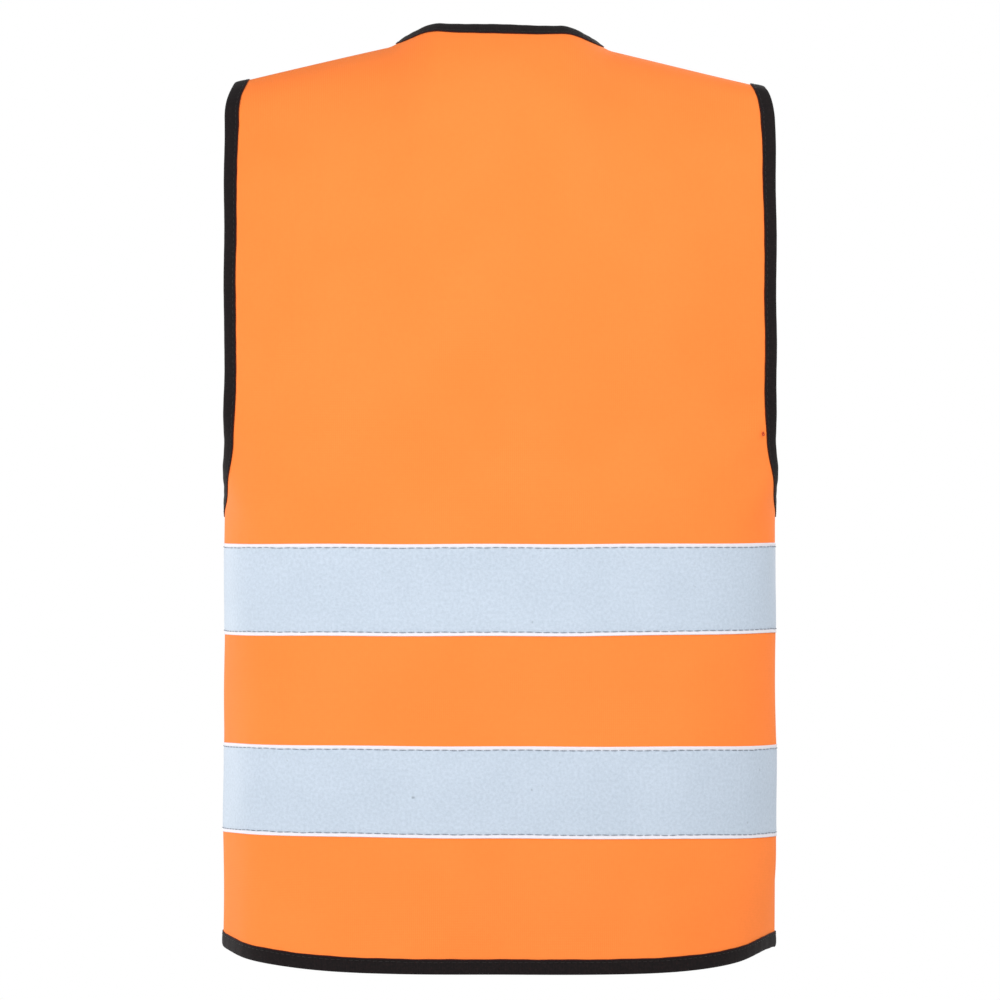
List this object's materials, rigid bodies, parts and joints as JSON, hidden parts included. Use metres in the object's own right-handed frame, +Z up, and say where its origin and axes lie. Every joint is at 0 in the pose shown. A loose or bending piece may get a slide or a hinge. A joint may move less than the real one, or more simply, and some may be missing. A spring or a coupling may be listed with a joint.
{
  "type": "high visibility vest",
  "caption": "Child's sleeveless orange high visibility vest with reflective bands round the body, black bound edges and an overlapping front closed by hook and loop.",
  "frame": {"origin": "midway between the inner ends of the two shoulder seams, where the vest rests on the wearer's shoulders", "axes": "+Z up, the front of the vest faces -Y, the back +Y, the wearer's left is +X"},
  "size_m": [0.3052, 0.179, 0.5198],
  "materials": {
    "orange_mesh": "fine warp-knitted polyester, fluorescent orange, matt with a soft sheen",
    "reflective_tape": "silver grey glass bead retroreflective fabric",
    "black_binding": "black woven polyester binding tape, folded",
    "hook_tape": "black woven tape with nylon hooks",
    "loop_tape": "black woven tape with brushed nylon loops",
    "label_satin": "white satin label tape"
  },
  "bodies": {
    "back": {"back_panel": "orange_mesh", "upper_band_back": "reflective_tape", "lower_band_back": "reflective_tape", "back_neck_binding": "black_binding", "back_hem_binding": "black_binding", "left_armhole_binding_back": "black_binding", "right_armhole_binding_back": "black_binding"},
    "left_front": {"left_front_panel": "orange_mesh", "left_front_upper_band": "reflective_tape", "left_front_lower_band": "reflective_tape", "left_front_binding": "black_binding", "left_armhole_binding_front": "black_binding", "hook_patch_top": "hook_tape", "hook_patch_middle": "hook_tape", "hook_patch_bottom": "hook_tape"},
    "right_front": {"right_front_panel": "orange_mesh", "right_front_upper_band": "reflective_tape", "right_front_lower_band": "reflective_tape", "right_front_binding": "black_binding", "right_armhole_binding_front": "black_binding", "loop_patch_top": "loop_tape", "loop_patch_middle": "loop_tape", "loop_patch_bottom": "loop_tape"},
    "neck_label": {"neck_label": "label_satin"},
    "care_label": {"care_label": "label_satin"}
  },
  "joints": [
    {"name": "left_front_opening", "type": "hinge", "parent": "back", "child": "left_front", "pos_m": [0.15245, 0, -0.378], "axis": [0, 0, 1], "range_deg": [0, 100]},
    {"name": "right_front_opening", "type": "hinge", "parent": "back", "child": "right_front", "pos_m": [-0.15245, 0, -0.378], "axis": [0, 0, -1], "range_deg": [0, 70]},
    {"name": "neck_label_flap", "type": "hinge", "parent": "back", "child": "neck_label", "pos_m": [0, 0.0353, 0.0059], "axis": [-1, 0, 0], "range_deg": [0, 90]},
    {"name": "care_label_flap", "type": "hinge", "parent": "back", "child": "care_label", "pos_m": [0.1484, 0.0015, -0.351], "axis": [0, 0, 1], "range_deg": [0, 110]}
  ],
  "couplings": [
    {"joint": "right_front_opening", "follows": "left_front_opening", "ratio": 0.7}
  ]
}
